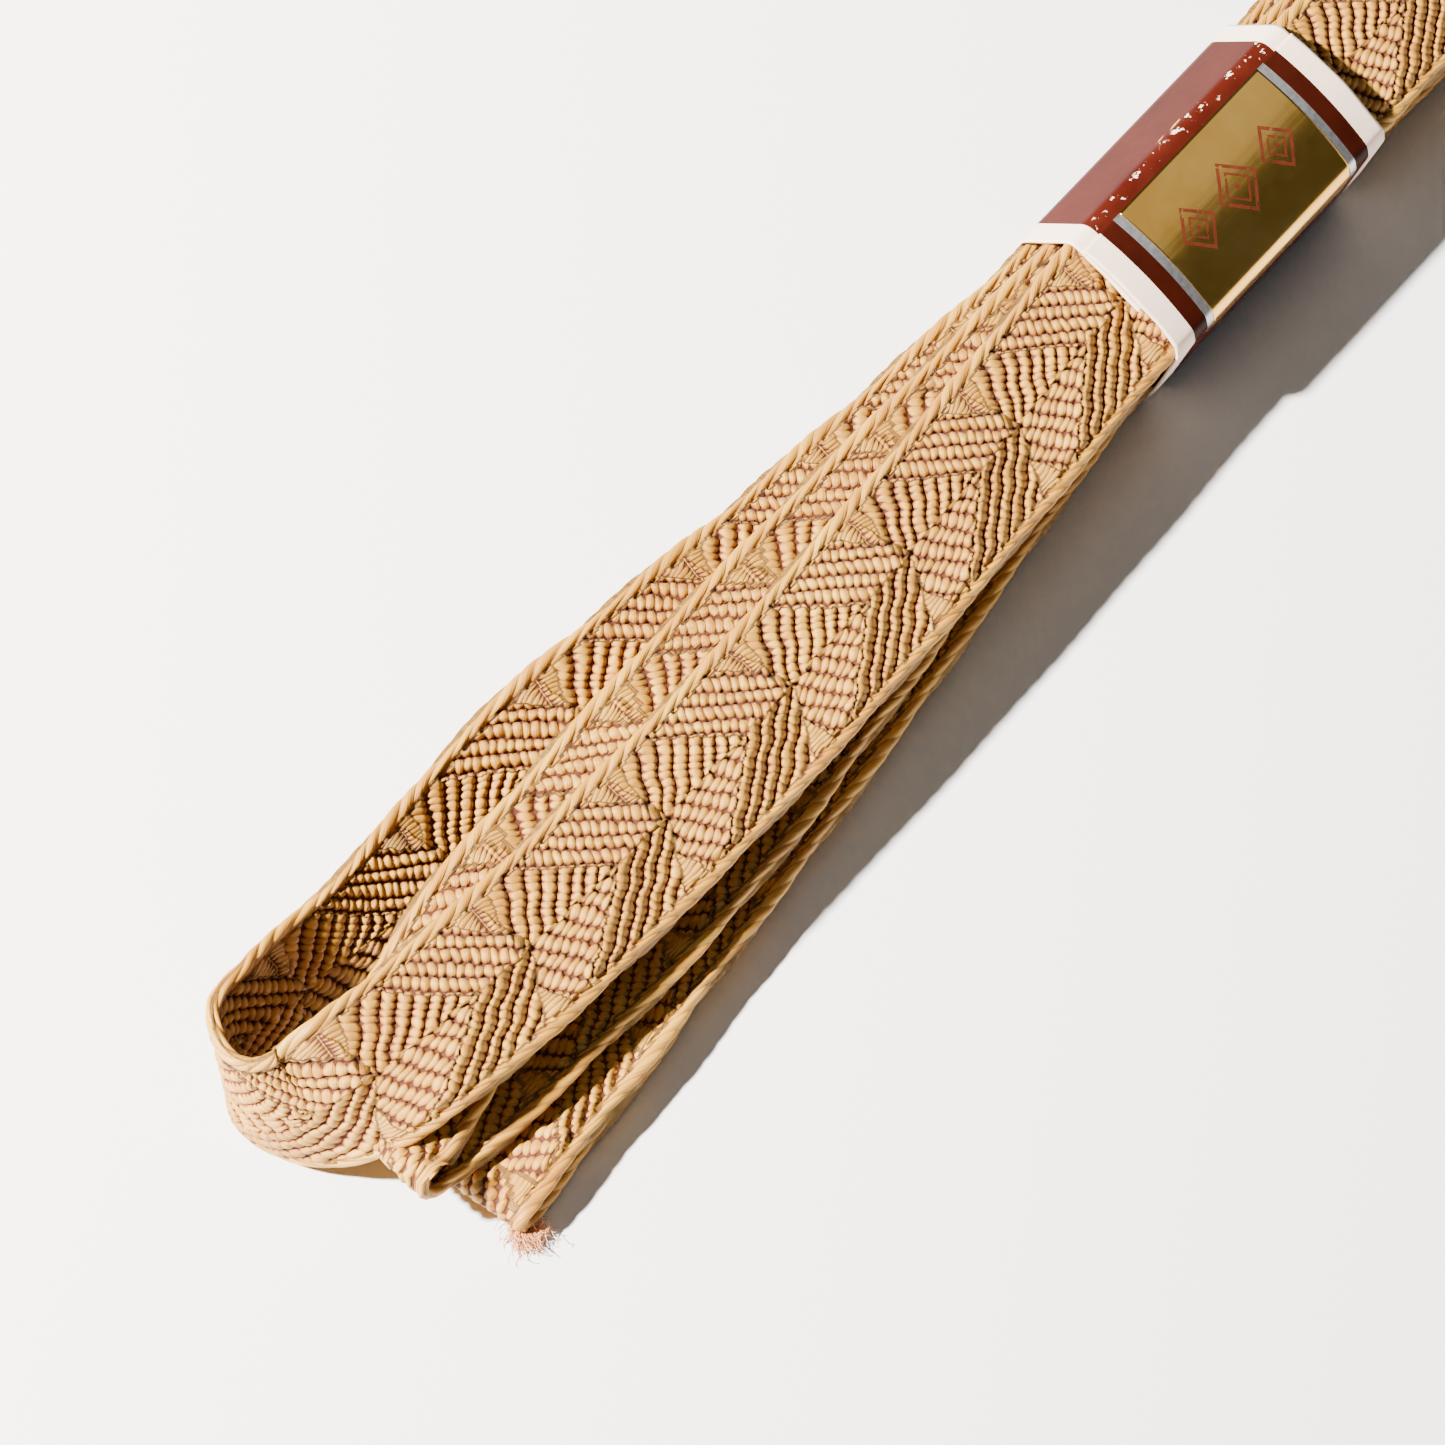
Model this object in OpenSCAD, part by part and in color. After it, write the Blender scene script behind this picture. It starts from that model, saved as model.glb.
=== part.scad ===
// A flat braided silk sash cord, folded back and forth into a hank of six runs
// and held together by a glued paper band. It lies on a surface at z = 0, with
// the open folds towards -X and the two tassels towards +X.

/* [Cord] */
// Width of the flat braid
cord_w = 15; // [14:0.5:15]
// Thickness of the flat braid
cord_t = 1.9; // [1.4:0.1:1.9]
// Length of the whipping that ends the braid
binding_len = 4.4; // [3:0.2:6]
// How much wider and thicker the whipping is than the braid
binding_extra = 0.6; // [0.2:0.1:1]

/* [Tassels] */
// Width of a tassel at its loose end
tassel_w = 18; // [15:0.5:18]
// Thickness of a tassel at its loose end
tassel_t = 4.0; // [3:0.2:4]

/* [Band] */
// Length of the paper band along the cord
band_len = 33; // [25:1:36]
// Thickness of the band's paper
paper_t = 0.3; // [0.2:0.05:0.3]
// Thickness of the glue under the band's overlap
glue_t = 0.1; // [0.05:0.05:0.15]
// Thickness of the gold foil
foil_t = 0.06; // [0.04:0.02:0.1]
// Border left between the foil and each end of the band
foil_border = 5.6; // [4:0.2:8]

/* [Hidden] */

silk = "#D9B07A";
silk_dark = "#B98A52";
silk_light = "#E6C797";
maroon = "#6E352C";
gold = "#B08D3E";
glue = "#E9E0C4";

// The cord's route, from its upper end to its lower one. Each row is one ring:
// the middle of the braid in x, y and z, and the angle by which its +Y edge is
// tilted up. The first run lies on top of the stack and the last one under it.
RUN_1 = [[126, -6.5, 10.4, 10], [118, -5.6, 12.6, 17], [108, -4.2, 14.0, 24], [96, -3.3, 14.2, 26],
         [40, -3.3, 14.2, 26], [-18, -3.3, 14.2, 26], [-38, -4.4, 13.7, 26], [-60, -5.2, 13.2, 25],
         [-90, -5.2, 13.0, 25], [-112, -4.0, 13.5, 26], [-122, -2.6, 13.6, 28], [-127, -1.0, 13.5, 33]];
STANDING_LOOP = [[-131, 1.4, 10.8, 48], [-133.8, 5.2, 8.6, 70], [-134, 9.0, 8.0, 84],
                 [-131, 12.0, 8.0, 80], [-124, 11.4, 8.0, 68]];
RUN_2 = [[-112, 9.8, 7.6, 56], [-90, 8.8, 10.2, 43], [-75, 6.2, 12.0, 33], [-60, 4.4, 11.4, 25],
         [-38, 2.6, 10.8, 19], [-18, 1.4, 10.4, 17], [40, 1.4, 10.4, 17], [96, 1.4, 10.4, 17]];
FOLD_2 = [[108, 1.2, 10.4, 18], [110.2, 0.6, 10.8, 19], [110.9, 0.0, 11.5, 20],
          [110.2, -0.5, 12.2, 21], [108, -0.8, 12.5, 22]];
RUN_3 = [[96, -0.9, 12.4, 22], [40, -0.9, 12.4, 22], [-18, -0.9, 12.4, 22], [-38, -0.6, 12.6, 23],
         [-60, 0.2, 12.2, 24], [-75, 0.4, 11.9, 25], [-90, 0.4, 11.0, 25], [-112, -0.6, 9.8, 17],
         [-118, -1.8, 8.8, 11]];
FOLD_3 = [[-122.5, -3.0, 7.9, 6], [-124.3, -3.3, 7.5, 5], [-125, -3.6, 6.7, 4],
          [-124.3, -3.9, 5.9, 3], [-122.5, -4.2, 5.6, 2]];
RUN_4 = [[-112, -6.2, 5.8, 0], [-90, -7.0, 5.9, -2], [-60, -4.2, 6.3, 4], [-38, -1.6, 6.8, 8],
         [-18, -0.2, 7.1, 11], [40, -0.2, 7.1, 11], [96, -0.2, 7.1, 11]];
FOLD_4 = [[102, -0.2, 6.95, 10.5], [104, -0.3, 6.55, 10], [104.6, -0.4, 5.7, 8.5],
          [104, -0.4, 4.7, 7], [102, -0.4, 4.4, 6]];
RUN_5 = [[96, -0.4, 4.3, 6], [40, -0.4, 4.3, 6], [-18, -0.4, 4.3, 6], [-38, -2.6, 4.0, 3],
         [-60, -5.6, 3.7, 0], [-90, -8.8, 3.5, -2], [-112, -10.6, 3.3, -1]];
FOLD_5 = [[-122, -11.2, 3.25, 0], [-123.6, -11.3, 3.0, 0], [-124.2, -11.3, 2.15, 0],
          [-123.6, -11.3, 1.3, 0], [-122, -11.2, 1.1, 0], [-119, -11.0, 1.1, 0]];
RUN_6 = [[-112, -10.4, 1.1, 0], [-90, -7.8, 1.05, 0], [-60, -4.2, 1.1, 0], [-38, -1.4, 1.4, 0],
         [-18, 0.6, 1.55, 0], [40, 0.6, 1.55, 0], [96, 0.6, 1.55, 0], [110, 1.8, 1.8, 0],
         [118, 3.4, 2.3, 0], [124, 4.8, 2.4, 0]];
ROUTE = concat(RUN_1, STANDING_LOOP, RUN_2, FOLD_2, RUN_3, FOLD_3, RUN_4, FOLD_4, RUN_5, FOLD_5,
               RUN_6);

// Where each tassel's threads lie past its whipping, with the same four values
// a row as the route.
UPPER_THREADS = [[146, -9.4, 4.9, 3], [154, -10.2, 3.2, 1], [164, -11, 2.4, 0]];
LOWER_THREADS = [[146, 8.2, 2.3, 0], [154, 9.2, 2.3, 0], [164, 10, 2.4, 0]];

// The inside of the wrapped band as y and z, from the tucked end over the top
// crease, down the +Y side, under the runs and up the -Y side.
TOP_CREASE = [1.6, 18.05];
TOP_EDGE = [-9.95, 12.45];
TOP_FALL = (TOP_EDGE - TOP_CREASE) / norm(TOP_EDGE - TOP_CREASE);
TUCKED_LEN = 8;
WRAP = [TOP_CREASE + TUCKED_LEN * TOP_FALL, TOP_CREASE, [2.4, 18.35], [3.2, 18.1], [8.55, 13.2],
        [8.85, 12.3], [8.2, 0.8], [7.4, 0.3], [-6.2, 0.3], [-6.9, 0.7], [-8.0, 3.2],
        [-10.4, 11.5]];

unit = function(v) v / norm(v);
last = function(list) list[len(list) - 1];
place = function(row) [row[0], row[1], row[2]];

// Direction of travel at ring i: the mean of the stretches before and after it
heading = function(rows, i)
    let (here = place(rows[i]),
         before = i > 0 ? unit(here - place(rows[i - 1])) : [0, 0, 0],
         after = i < len(rows) - 1 ? unit(place(rows[i + 1]) - here) : [0, 0, 0])
    unit(before + after);

// Direction of the braid's -Y edge at ring i, square to the direction of travel
across = function(rows, i)
    let (tilt = rows[i][3], level = [0, -cos(tilt), -sin(tilt)], along = heading(rows, i))
    unit(level - (level * along) * along);

// One ring of eight points: a flat outline with narrow bevelled edges
ring = function(middle, side, up, w, t) [
    for (p = [[0.5 * w, -0.2 * t], [0.5 * w, 0.2 * t], [0.5 * w - 0.4 * t, 0.5 * t],
              [0.4 * t - 0.5 * w, 0.5 * t], [-0.5 * w, 0.2 * t], [-0.5 * w, -0.2 * t],
              [0.4 * t - 0.5 * w, -0.5 * t], [0.5 * w - 0.4 * t, -0.5 * t]])
        middle + p[0] * side + p[1] * up
];

// A closed flat solid swept along rows, with a width and thickness for each
module ribbon(rows, widths, thicknesses) {
    n = len(rows);
    points = [
        for (i = [0 : n - 1])
            let (side = across(rows, i), up = cross(side, heading(rows, i)))
            each ring(place(rows[i]), side, up, widths[i], thicknesses[i])
    ];
    walls = [
        for (i = [0 : n - 2], k = [0 : 7])
            let (a = 8 * i + k, b = 8 * i + (k + 1) % 8)
            each [[a, b, b + 8], [a, b + 8, a + 8]]
    ];
    start = [for (k = [7 : -1 : 0]) k];
    end = [for (k = [0 : 7]) 8 * (n - 1) + k];
    polyhedron(points, concat([start], walls, [end]), convexity = 10);
}

// The row that lies a distance past the end of a route, on its last stretch
past = function(from, to, distance)
    let (p = place(to) + distance * unit(place(to) - place(from)))
    [p[0], p[1], p[2], to[3]];

same = function(value, count) [for (i = [1 : count]) value];

// The braid's two ends, each as the last stretch that leads to it
UPPER_END = [ROUTE[1], ROUTE[0]];
LOWER_END = [ROUTE[len(ROUTE) - 2], last(ROUTE)];

module binding(end) {
    rows = [end[1], past(end[0], end[1], binding_len)];
    ribbon(rows, same(cord_w + binding_extra, 2), same(cord_t + binding_extra, 2));
}

module tassel(end, threads) {
    neck = past(end[0], end[1], binding_len);
    swell = past(end[0], end[1], binding_len + 6);
    rows = concat([neck, swell], threads);
    widths = [cord_w - 0.4, cord_w + 0.4, tassel_w - 1.8, tassel_w - 0.8, tassel_w];
    thicknesses = [cord_t, tassel_t - 0.8, tassel_t - 0.2, tassel_t, tassel_t];
    ribbon(rows, widths, thicknesses);
}

// Outward normal of the stretch from a to b of an outline that runs clockwise
outward = function(a, b) let (d = unit(b - a)) [-d[1], d[0]];

// A line moved outwards by a distance, with mitred corners
shifted = function(line, distance) [
    for (i = [0 : len(line) - 1])
        let (n1 = outward(line[max(i - 1, 0)], line[max(i, 1)]),
             n2 = outward(line[min(i, len(line) - 2)], line[min(i + 1, len(line) - 1)]))
        line[i] + distance * (n1 + n2) / (1 + n1 * n2)
];

reversed = function(list) [for (i = [len(list) - 1 : -1 : 0]) list[i]];

// A sheet of thickness t that lies on the outside of a line, along a length
module sheet(line, t, length) {
    rotate([90, 0, 90])
        linear_extrude(length, center = true, convexity = 6)
            polygon(concat(line, reversed(shifted(line, t))));
}

// The overlapping end of the wrap, which lies over the tucked end and the glue
facet_out = outward(TOP_EDGE, TOP_CREASE);
flap_lift = paper_t + glue_t;
FLAP = [TOP_EDGE + flap_lift * facet_out, TOP_CREASE + flap_lift * facet_out];

module cord() {
    color(silk)
        ribbon(ROUTE, same(cord_w, len(ROUTE)), same(cord_t, len(ROUTE)));
}

module binding_upper() {
    color(silk_dark)
        binding(UPPER_END);
}

module binding_lower() {
    color(silk_dark)
        binding(LOWER_END);
}

module tassel_upper() {
    color(silk_light)
        tassel(UPPER_END, UPPER_THREADS);
}

module tassel_lower() {
    color(silk_light)
        tassel(LOWER_END, LOWER_THREADS);
}

module band_paper() {
    color(maroon)
        sheet(concat(WRAP, FLAP), paper_t, band_len);
}

// The foil covers the flap and folds a little way down the -Y side
module foil_panel() {
    side = last(WRAP);
    below = side + 3 * unit(WRAP[len(WRAP) - 2] - side);
    face = shifted(concat([below, side], FLAP), paper_t);
    color(gold)
        sheet(face, foil_t, band_len - 2 * foil_border);
}

module glue_strip() {
    start = TOP_CREASE + (TUCKED_LEN - 1.5) * TOP_FALL + paper_t * facet_out;
    end = TOP_CREASE + 0.5 * TOP_FALL + paper_t * facet_out;
    color(glue)
        sheet([start, end], glue_t, band_len - 4);
}

cord();
binding_upper();
binding_lower();
tassel_upper();
tassel_lower();
band_paper();
foil_panel();
glue_strip();
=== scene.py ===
import math

import bpy
import numpy as np
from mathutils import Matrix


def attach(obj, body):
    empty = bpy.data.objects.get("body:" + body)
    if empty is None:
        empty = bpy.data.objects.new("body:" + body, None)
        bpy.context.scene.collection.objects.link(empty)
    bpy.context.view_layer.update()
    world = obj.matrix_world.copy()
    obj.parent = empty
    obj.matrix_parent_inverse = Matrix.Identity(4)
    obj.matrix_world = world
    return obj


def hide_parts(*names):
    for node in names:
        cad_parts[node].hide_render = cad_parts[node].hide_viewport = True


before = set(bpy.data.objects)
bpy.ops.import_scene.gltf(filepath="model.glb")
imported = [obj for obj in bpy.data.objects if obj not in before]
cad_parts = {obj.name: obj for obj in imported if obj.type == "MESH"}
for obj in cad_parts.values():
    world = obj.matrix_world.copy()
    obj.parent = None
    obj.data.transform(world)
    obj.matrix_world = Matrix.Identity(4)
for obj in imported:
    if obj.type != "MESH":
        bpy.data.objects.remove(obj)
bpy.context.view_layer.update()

MM = 0.001
rng = np.random.default_rng(7)

# ---------------------------------------------------------------- camera, in metres and degrees

AIM = (-0.0745, -0.0015, 0.009)
CAMERA_AZIMUTH = -50.6
CAMERA_ELEVATION = 60
CAMERA_DISTANCE = 0.7
FIELD_WIDTH = 0.1357
SENSOR = 36


def place_camera():
    """A long lens that looks down along the hank, from the side of its open folds."""
    az, el = math.radians(CAMERA_AZIMUTH), math.radians(CAMERA_ELEVATION)
    data = bpy.data.cameras.new("camera")
    data.sensor_width = SENSOR
    data.lens = SENSOR * CAMERA_DISTANCE / FIELD_WIDTH
    camera = bpy.data.objects.new("camera", data)
    bpy.context.collection.objects.link(camera)
    back = (math.sin(az) * math.cos(el), -math.cos(az) * math.cos(el), math.sin(el))
    camera.location = [a + CAMERA_DISTANCE * b for a, b in zip(AIM, back)]
    camera.rotation_euler = (math.pi / 2 - el, 0, az)
    bpy.context.scene.camera = camera


place_camera()

# ---------------------------------------------------------------- the cord's route

# Each row is the middle of the braid in metres, and the angle in degrees by
# which its +Y edge is tilted up. The first run lies on top, the last one below.
RUN_1 = [
    (0.126, -0.0065, 0.0104, 10), (0.118, -0.0056, 0.0126, 17), (0.108, -0.0042, 0.014, 24),
    (0.096, -0.0033, 0.0142, 26), (0.04, -0.0033, 0.0142, 26), (-0.018, -0.0033, 0.0142, 26),
    (-0.038, -0.0044, 0.0137, 26), (-0.06, -0.0052, 0.0132, 25), (-0.09, -0.0052, 0.013, 25),
    (-0.112, -0.004, 0.0135, 26), (-0.122, -0.0026, 0.0134, 29), (-0.1265, -0.001, 0.0122, 40),
]
STANDING_LOOP = [
    (-0.1298, 0.0014, 0.0095, 58), (-0.132, 0.0052, 0.0082, 74), (-0.1322, 0.009, 0.008, 84),
    (-0.1295, 0.012, 0.008, 80), (-0.124, 0.0114, 0.008, 68),
]
RUN_2 = [
    (-0.112, 0.0098, 0.0076, 56), (-0.09, 0.0088, 0.0102, 43), (-0.075, 0.0062, 0.012, 33),
    (-0.06, 0.0044, 0.0114, 25), (-0.038, 0.0026, 0.0108, 19), (-0.018, 0.0014, 0.0104, 17),
    (0.04, 0.0014, 0.0104, 17), (0.096, 0.0014, 0.0104, 17),
]
FOLD_2 = [
    (0.108, 0.0012, 0.0104, 18), (0.1102, 0.0006, 0.0108, 19), (0.1109, 0, 0.0115, 20),
    (0.1102, -0.0005, 0.0122, 21), (0.108, -0.0008, 0.0125, 22),
]
RUN_3 = [
    (0.096, -0.0009, 0.0124, 22), (0.04, -0.0009, 0.0124, 22), (-0.018, -0.0009, 0.0124, 22),
    (-0.038, -0.0006, 0.0126, 23), (-0.06, 0.0002, 0.0122, 24), (-0.075, 0.0004, 0.0119, 25),
    (-0.09, 0.0004, 0.011, 25), (-0.112, -0.0006, 0.0098, 17), (-0.12, -0.0024, 0.0083, 9),
]
FOLD_3 = [
    (-0.1253, -0.0034, 0.0073, 5), (-0.1271, -0.0037, 0.0069, 4), (-0.1278, -0.004, 0.0061, 3),
    (-0.1271, -0.0043, 0.0053, 2), (-0.1253, -0.0046, 0.005, 1),
]
RUN_4 = [
    (-0.112, -0.0062, 0.0058, 0), (-0.09, -0.007, 0.0059, -2), (-0.06, -0.0042, 0.0063, 4),
    (-0.038, -0.0016, 0.0068, 8), (-0.018, -0.0002, 0.0071, 11), (0.04, -0.0002, 0.0071, 11),
    (0.096, -0.0002, 0.0071, 11),
]
FOLD_4 = [
    (0.102, -0.0002, 0.00695, 10.5), (0.104, -0.0003, 0.00655, 10), (0.1046, -0.0004, 0.0057, 8.5),
    (0.104, -0.0004, 0.0047, 7), (0.102, -0.0004, 0.0044, 6),
]
RUN_5 = [
    (0.096, -0.0004, 0.0043, 6), (0.04, -0.0004, 0.0043, 6), (-0.018, -0.0004, 0.0043, 6),
    (-0.038, -0.0026, 0.004, 3), (-0.06, -0.0056, 0.0037, 0), (-0.09, -0.0088, 0.0035, -2),
    (-0.112, -0.0106, 0.0033, -1),
]
FOLD_5 = [
    (-0.122, -0.0112, 0.00325, 0), (-0.1236, -0.0113, 0.003, 0), (-0.1242, -0.0113, 0.00215, 0),
    (-0.1236, -0.0113, 0.0013, 0), (-0.122, -0.0112, 0.0011, 0), (-0.119, -0.011, 0.0011, 0),
]
RUN_6 = [
    (-0.112, -0.0104, 0.0011, 0), (-0.09, -0.0078, 0.00105, 0), (-0.06, -0.0042, 0.0011, 0),
    (-0.038, -0.0014, 0.0014, 0), (-0.018, 0.0006, 0.00155, 0), (0.04, 0.0006, 0.00155, 0),
    (0.096, 0.0006, 0.00155, 0), (0.11, 0.0018, 0.0018, 0), (0.118, 0.0034, 0.0023, 0),
    (0.124, 0.0048, 0.0024, 0),
]
ROUTE = np.array(
    RUN_1 + STANDING_LOOP + RUN_2 + FOLD_2 + RUN_3 + FOLD_3 + RUN_4 + FOLD_4 + RUN_5 + FOLD_5
    + RUN_6
)


def smooth_rows(rows, step):
    """Rows a step apart on a curve that passes smoothly through the given ones."""
    chord = np.linalg.norm(np.diff(rows[:, :3], axis=0), axis=1)
    at = np.r_[0, np.cumsum(chord)]
    slope = np.diff(rows, axis=0) / chord[:, None]
    bend = np.empty_like(rows)
    bend[0], bend[-1] = slope[0], slope[-1]
    before, after = chord[:-1, None], chord[1:, None]
    bend[1:-1] = (slope[:-1] * after + slope[1:] * before) / (before + after)
    where = np.linspace(0, at[-1], int(at[-1] / step) + 1)
    i = np.clip(np.searchsorted(at, where, side="right") - 1, 0, len(chord) - 1)
    t = ((where - at[i]) / chord[i])[:, None]
    span = chord[i][:, None]
    return (
        (2 * t**3 - 3 * t**2 + 1) * rows[i]
        + (t**3 - 2 * t**2 + t) * span * bend[i]
        + (3 * t**2 - 2 * t**3) * rows[i + 1]
        + (t**3 - t**2) * span * bend[i + 1]
    )


def unit(v):
    return v / np.linalg.norm(v, axis=-1, keepdims=True)


def frames_along(rows):
    """Middle, direction of the -Y edge and face normal at each row."""
    middle, tilt = rows[:, :3], np.radians(rows[:, 3])
    steps = unit(np.diff(middle, axis=0))
    travel = unit(np.vstack([steps[:1], steps[1:] + steps[:-1], steps[-1:]]))
    level = np.stack([0 * tilt, -np.cos(tilt), -np.sin(tilt)], axis=1)
    side = unit(level - (level * travel).sum(1, keepdims=True) * travel)
    return middle, side, np.cross(side, travel)


# ---------------------------------------------------------------- meshes


def turned_outwards(verts, faces):
    """The same faces of a closed shape, all turned so that they look outwards."""
    a, b, c, d = (verts[faces[:, k]] for k in range(4))
    volume = np.einsum("ij,ij->", a, np.cross(b, c)) + np.einsum("ij,ij->", a, np.cross(c, d))
    return faces if volume >= 0 else faces[:, ::-1]


def new_object(name, verts, faces, material):
    """A mesh from numpy arrays. faces is an array of four corners a row."""
    faces = turned_outwards(verts, faces)
    mesh = bpy.data.meshes.new(name)
    mesh.vertices.add(len(verts))
    mesh.vertices.foreach_set("co", np.ascontiguousarray(verts, dtype=np.float32).ravel())
    mesh.loops.add(faces.size)
    mesh.loops.foreach_set("vertex_index", np.ascontiguousarray(faces, dtype=np.int32).ravel())
    mesh.polygons.add(len(faces))
    mesh.polygons.foreach_set("loop_start", np.arange(0, faces.size, faces.shape[1], dtype=np.int32))
    mesh.polygons.foreach_set("use_smooth", np.full(len(faces), True))
    mesh.update(calc_edges=True)
    mesh.validate()
    mesh.materials.append(material)
    obj = bpy.data.objects.new(name, mesh)
    bpy.context.collection.objects.link(obj)
    return obj


def grid_faces(rings, around):
    """Quads between closed rings of points, each with the same number of points around it."""
    i = np.arange(rings - 1)[:, None]
    k = np.arange(around)[None, :]
    nxt = (k + 1) % around
    a, b = i * around + k, i * around + nxt
    return np.stack([a, b, b + around, a + around], axis=-1).reshape(-1, 4)


def store(obj, name, values):
    """Keeps one number or one vector for each point, for the material to read."""
    kind = "FLOAT" if values.ndim == 1 else "FLOAT_VECTOR"
    attribute = obj.data.attributes.new(name, kind, "POINT")
    key = "value" if values.ndim == 1 else "vector"
    attribute.data.foreach_set(key, np.ascontiguousarray(values, dtype=np.float32).ravel())


# ---------------------------------------------------------------- the braid's pattern, in mm

REPEAT = 17.7
# The braid is drawn out a little more towards the first fold: a repeat is shortest at the
# first crossing, and grows by a share of each mm beyond it, over this many mm
REPEAT_AT_CROSSING = 17.2
DRAWN_OUT = 0.0175
DRAWN_OUT_OVER = 95
HALF = 7.5
FIRST_CROSSING = 142.8
# How steeply the rows of grains and the shallow ribs slope across the braid
GRAIN_SLOPE = 1.15
SHALLOW_SLOPE = 0.645
ROPE_FROM = 6.35
ROPE_STITCH = 2.5


def repeats_along(s):
    """How many repeats of the pattern lie between the first crossing and s mm along the cord."""
    step = 0.5
    steps = np.arange(0, s.max() + 1.0, step)
    beyond = np.clip(steps - FIRST_CROSSING, 0, DRAWN_OUT_OVER)
    repeat = REPEAT_AT_CROSSING + DRAWN_OUT * beyond
    count = np.r_[0, np.cumsum(step / repeat[:-1])]
    return np.interp(s, steps, count) - np.interp(FIRST_CROSSING, steps, count)


def off(t):
    """How far t is from the nearest whole number."""
    return t - np.round(t)


def facets(x, y):
    """The four ribbed facets and two fans of each repeat, at x along and y up from the middle.
    Gives the place counted in ribs, the place counted in stitches, a number for the kind of
    facet, the slow rise, and whether it is a fan. Each divisor is a spacing in mm."""
    # No two stitches are laid quite alike
    x, y = (
        x + 0.11 * np.sin(1.7 * y + 0.61 * x) + 0.07 * np.sin(2.9 * x - 2.3 * y),
        y + 0.10 * np.sin(1.3 * x + 1.9 * y) + 0.06 * np.sin(3.1 * y - 2.1 * x),
    )
    d, upper = np.abs(y), y > 0
    w = np.clip(d / HALF, 0, 1)
    cell = np.floor((x - np.where(upper, -0.3, -0.6) * d) / REPEAT)
    x = x - cell * REPEAT

    # Upper half: leaning ribs that spread beside the fan, then rows of grains
    lean = x - 0.88 * d
    lean = np.where(lean < 0, lean / (1 + 0.17 * d), lean / (1 + 0.035 * d))
    u1_rib = (lean - 0.23) / np.where(lean < 0.23, 1.22, 1.82)
    u1_stitch = (0.67 * x + 0.74 * d) / 0.75
    u2_rib = (x + GRAIN_SLOPE * d - 12.2) / 2.0
    u2_stitch = (GRAIN_SLOPE * x - d) / 1.524 / 0.9 + 0.5 * np.mod(np.round(u2_rib), 2)
    u2_stitch = u2_stitch + 0.25 * off(u2_rib)
    in_u1 = x < 10.7 - GRAIN_SLOPE * d

    # Lower half: broad rungs, then shallow leaning ribs
    l1_rib = (x - 0.67 * d - 0.85) / 1.92
    l1_stitch = (d + 0.36 * x) / 0.765
    l2_rib = (d + SHALLOW_SLOPE * x - 7.94) / 1.45
    l2_stitch = (x - SHALLOW_SLOPE * d) / 1.19 / 0.82
    in_l1 = l2_rib < -0.5

    rib = np.where(upper, np.where(in_u1, u1_rib, u2_rib), np.where(in_l1, l1_rib, l2_rib))
    stitch = np.where(
        upper, np.where(in_u1, u1_stitch, u2_stitch), np.where(in_l1, l1_stitch, l2_stitch)
    )
    kind = np.where(upper, np.where(in_u1, 1.0, 2.0), np.where(in_l1, 3.0, 4.0))

    # The middle line rises towards the next crossing and drops into it; the lower half
    # rises to the line between its facets and falls away beyond it
    share = x / REPEAT
    crest = np.clip(share / 0.5, 0, 1) * np.clip((1.0 - share) / 0.07, 0, 1)
    rise_upper = crest * (1 - w)
    rise_l1 = np.clip((x + 0.6 * d) / np.maximum(11.2 - 0.95 * d, 1), 0, 1)
    rise_l2 = np.clip(1 - (l2_rib + 0.5) / 3.8, 0, 1)
    fade = np.clip((7.3 - d) / 1.6, 0, 1)
    rise = np.where(upper, rise_upper, np.where(in_l1, rise_l1, rise_l2) * fade)

    # Fans of long floats at the edges, widening from a point
    fx = x - REPEAT * (x > REPEAT / 2)
    up_fan = upper & (d > 3.0) & (fx > 1.15 - 0.95 * d) & (fx < 0.23 * d - 1.59)
    low_fan = ~upper & (d > 3.1) & (fx > -0.23 - 0.57 * d) & (fx < 0.33 * d - 2.82)
    spine = fx + 2.1
    rib = np.where(up_fan, spine / 2.6 - 0.5 * np.sign(spine), rib)
    rib = np.where(low_fan, spine / 3.4, rib)
    stitch = np.where(up_fan, (d + 0.27 * np.abs(spine)) / 0.46, stitch)
    stitch = np.where(low_fan, (d + 0.08 * np.abs(spine)) / 0.45, stitch)
    kind = np.where(up_fan | low_fan, 5.0, kind) + 7 * np.mod(cell, 9)
    return rib, stitch, kind, rise, up_fan | low_fan


def stitch_relief(rib, stitch, is_fan):
    """Height of a stitch, from 0 in the gaps to 1 at its middle."""
    across, along = (2.06 * off(rib)) ** 2, (1.40 * off(stitch)) ** 2
    dome = np.sqrt(np.clip(1 - across - along, 0, 1))
    return np.where(is_fan, 0.45 + 0.35 * dome, dome)


# ---------------------------------------------------------------- the braided cord

CORE = 0.30
CREST = 0.26
STITCH_HEIGHT = 0.42
ROPE_R = 0.50
ROPE_MID = HALF - ROPE_R - 0.16
FACE_POINTS = 74
EDGE_POINTS = 10
FINE_UNTIL, FINE_STEP = 300.0, 0.17
MEDIUM_UNTIL, MEDIUM_STEP = 500.0, 0.22
COARSE_STEP = 0.5
ROPE_AROUND = 1.55
ROPE_SLANT = 1.7
ROPE_RELIEF = 0.22
SCALLOP = 0.22
ROPE_KIND = 90.0


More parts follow.
